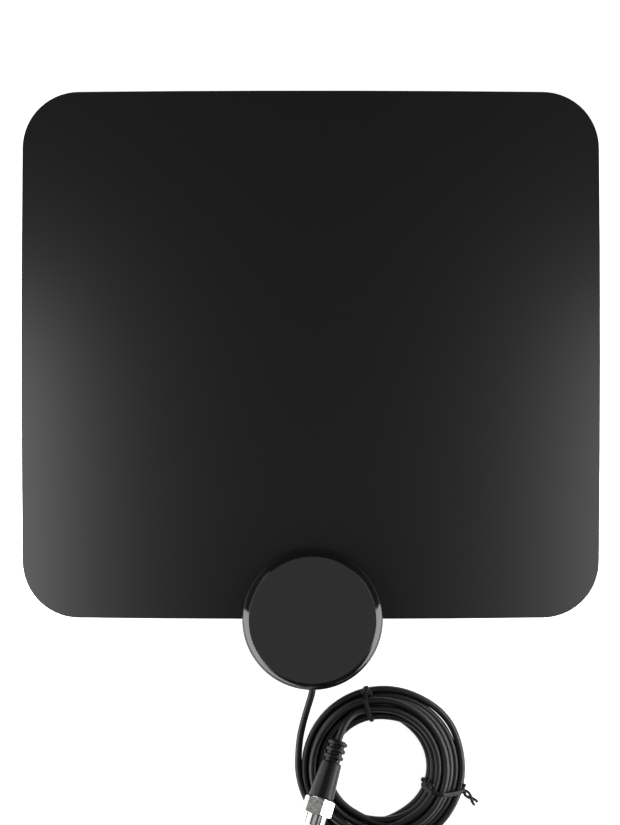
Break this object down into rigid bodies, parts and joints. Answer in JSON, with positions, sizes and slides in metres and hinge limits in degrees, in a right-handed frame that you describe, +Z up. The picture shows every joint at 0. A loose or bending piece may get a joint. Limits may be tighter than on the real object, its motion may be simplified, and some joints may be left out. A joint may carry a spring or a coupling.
{
  "type": "indoor tv antenna",
  "caption": "Thin flat indoor TV antenna: black film sheet with a round junction housing on its lower edge, a tied coil of thin coaxial cable and a connector with a spinning nut.",
  "frame": {"origin": "middle of the antenna's outline, without its cable, on the surface that it lies on", "axes": "+Z up out of the sheet's face, +Y from the junction housing to the sheet's upper edge, +X to the right seen from above"},
  "size_m": [0.235, 0.3072, 0.0226],
  "materials": {
    "sheet_film": "matt black film with a fine grain",
    "antenna_foil": "rolled foil",
    "housing_matte": "moulded, fine spark texture",
    "housing_gloss": "moulded, polished",
    "screw_steel": "zinc plated",
    "contact_brass": "plated, bright",
    "circuit_board": "solder mask over glass laminate",
    "ferrite": "sintered, dull",
    "enamelled_copper": "enamelled wire",
    "chip_body": "sintered ceramic, satin",
    "cable_jacket": "extruded PVC, satin",
    "tinned_braid": "woven tinned wire",
    "white_insulation": "polyethylene, waxy",
    "tie_plastic": "extruded, over a wire core",
    "boot_rubber": "moulded, satin",
    "nickel_plate": "bright nickel plate"
  },
  "bodies": {
    "antenna": {"front_film": "sheet_film", "rear_film": "sheet_film", "antenna_foil_left": "antenna_foil", "antenna_foil_right": "antenna_foil", "housing_base": "housing_matte", "housing_cap": "housing_gloss", "cover_screws": "screw_steel", "foil_contact_left": "contact_brass", "foil_contact_right": "contact_brass", "circuit_board": "circuit_board", "balun_core": "ferrite", "balun_primary_winding": "enamelled_copper", "balun_secondary_winding": "enamelled_copper", "chip_capacitors": "chip_body", "cable_clamp": "housing_matte", "clamp_screws": "screw_steel", "cable_inner_end": "cable_jacket", "coax_braid": "tinned_braid", "coax_insulation": "white_insulation", "coax_wire": "enamelled_copper", "cable_lead": "cable_jacket", "cable_coil": "cable_jacket", "cable_tail": "cable_jacket", "twist_tie_top": "tie_plastic", "twist_tie_right": "tie_plastic", "cable_outer_end": "cable_jacket", "connector_boot": "boot_rubber", "connector_sleeve": "nickel_plate", "connector_insulator": "white_insulation", "connector_pin": "contact_brass"},
    "nut": {"coupling_nut": "nickel_plate"}
  },
  "joints": [
    {"name": "nut_spin", "type": "hinge", "parent": "antenna", "child": "nut", "pos_m": [0.00304, -0.16695, 0.01601], "axis": [-0.2964, -0.94, 0.1691], "continuous": true}
  ]
}
